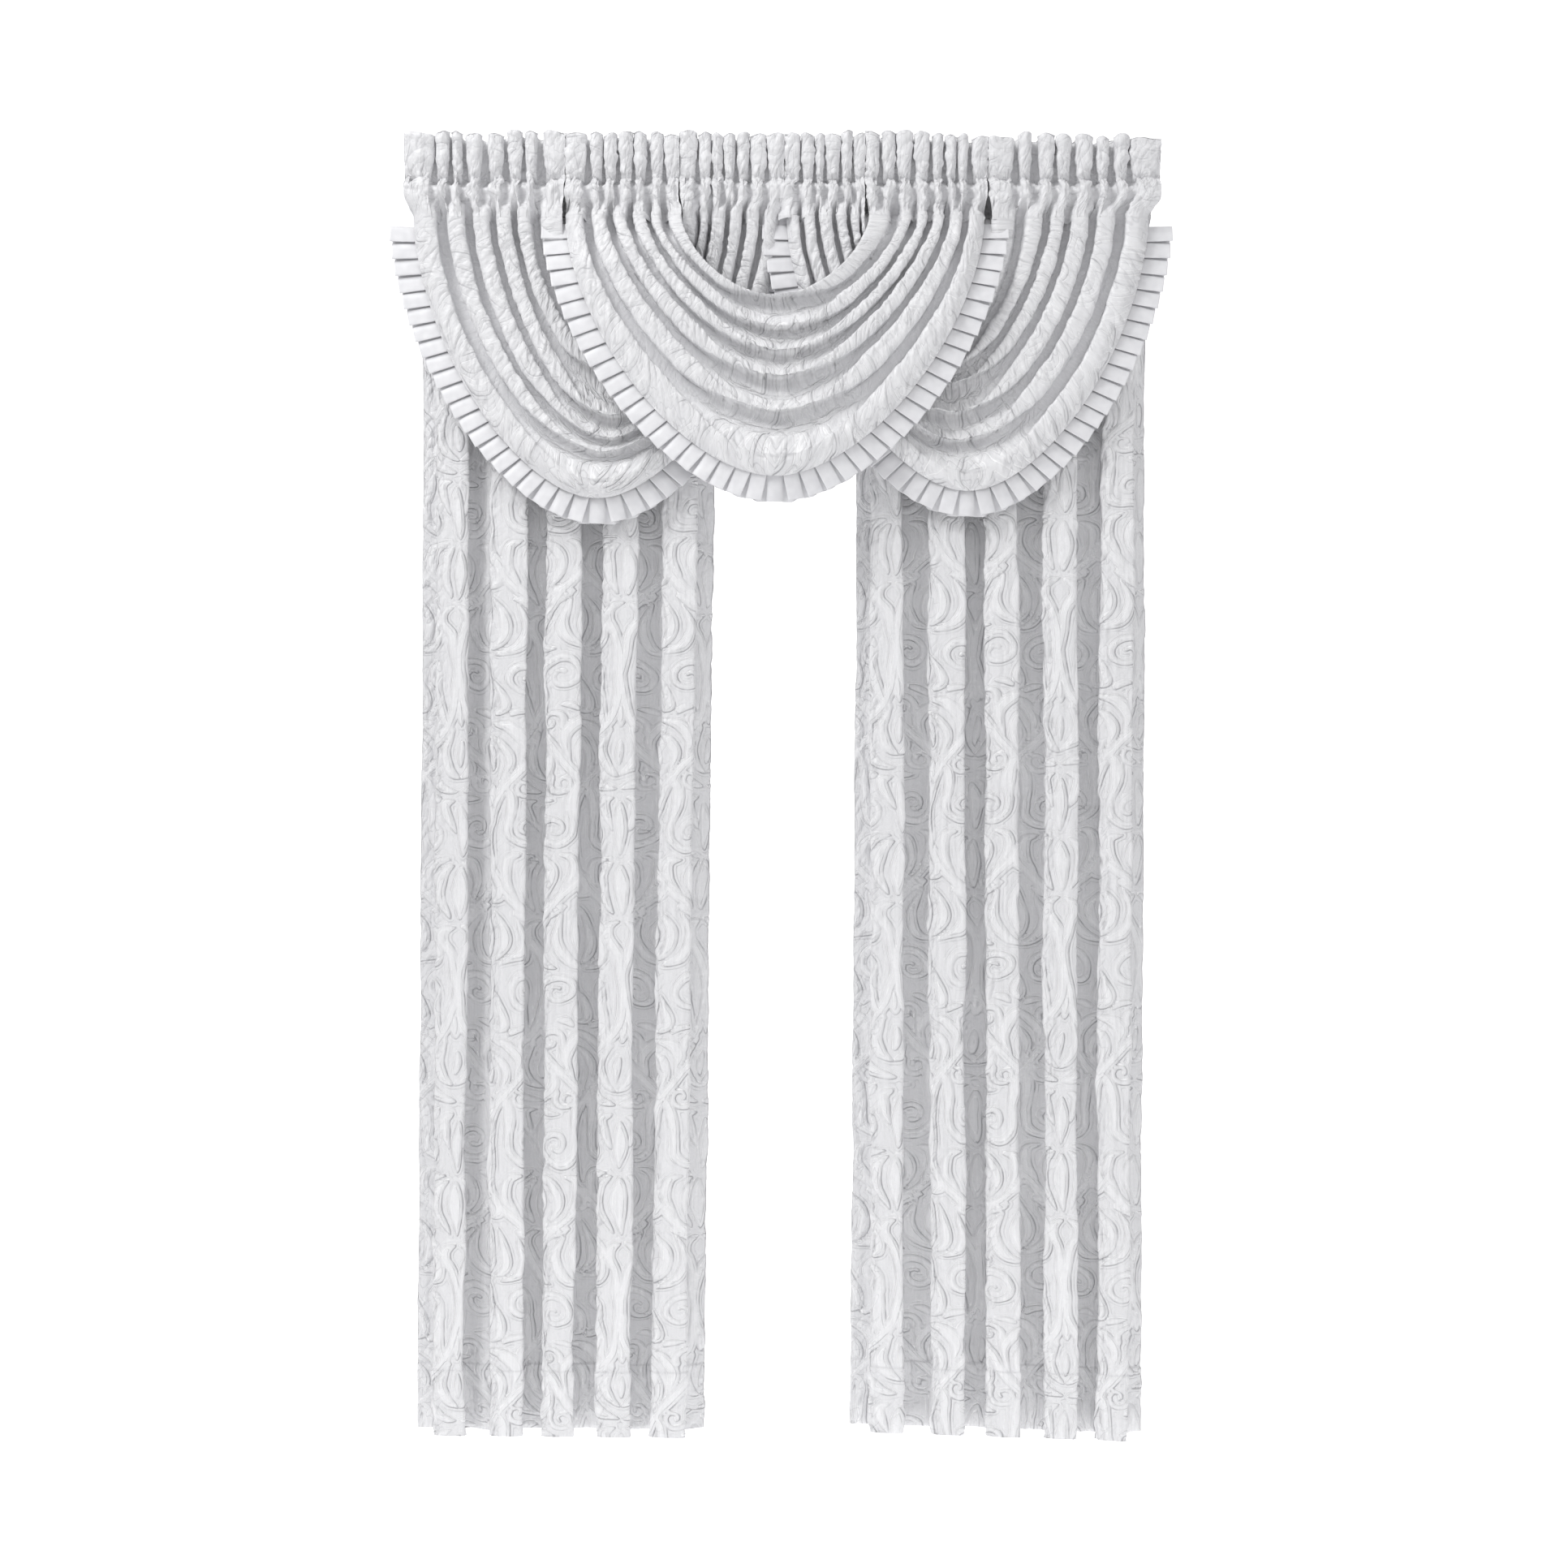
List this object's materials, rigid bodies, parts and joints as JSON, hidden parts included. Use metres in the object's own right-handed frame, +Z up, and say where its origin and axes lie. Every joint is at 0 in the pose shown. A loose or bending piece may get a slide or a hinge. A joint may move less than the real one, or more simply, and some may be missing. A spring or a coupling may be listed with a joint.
{
  "type": "pair of curtain panels with a swag valance",
  "caption": "Rod-pocket curtain panels in white damask, hanging in flat-fronted folds behind a gathered valance of overlapping swags edged with knife-pleated satin.",
  "frame": {"origin": "middle of the frilled top edge, over the axis of the valance's rod pocket", "axes": "+X to the right along the rods as seen from the room, -Y towards the room, +Z up"},
  "size_m": [1.2773, 0.1323, 2.146],
  "materials": {
    "damask": "puckered white-on-white jacquard with a soft sheen",
    "trim_satin": "smooth white satin"
  },
  "bodies": {
    "root": {"panel_left": "damask", "panel_right": "damask", "panel_left_heading": "damask", "panel_right_heading": "damask", "swag_left": "damask", "swag_centre": "damask", "swag_right": "damask", "swag_left_outer_heading": "damask", "swag_left_inner_heading": "damask", "swag_centre_left_heading": "damask", "swag_centre_right_heading": "damask", "swag_right_inner_heading": "damask", "swag_right_outer_heading": "damask", "trim_left": "trim_satin", "trim_centre": "trim_satin", "trim_right": "trim_satin"}
  },
  "joints": []
}
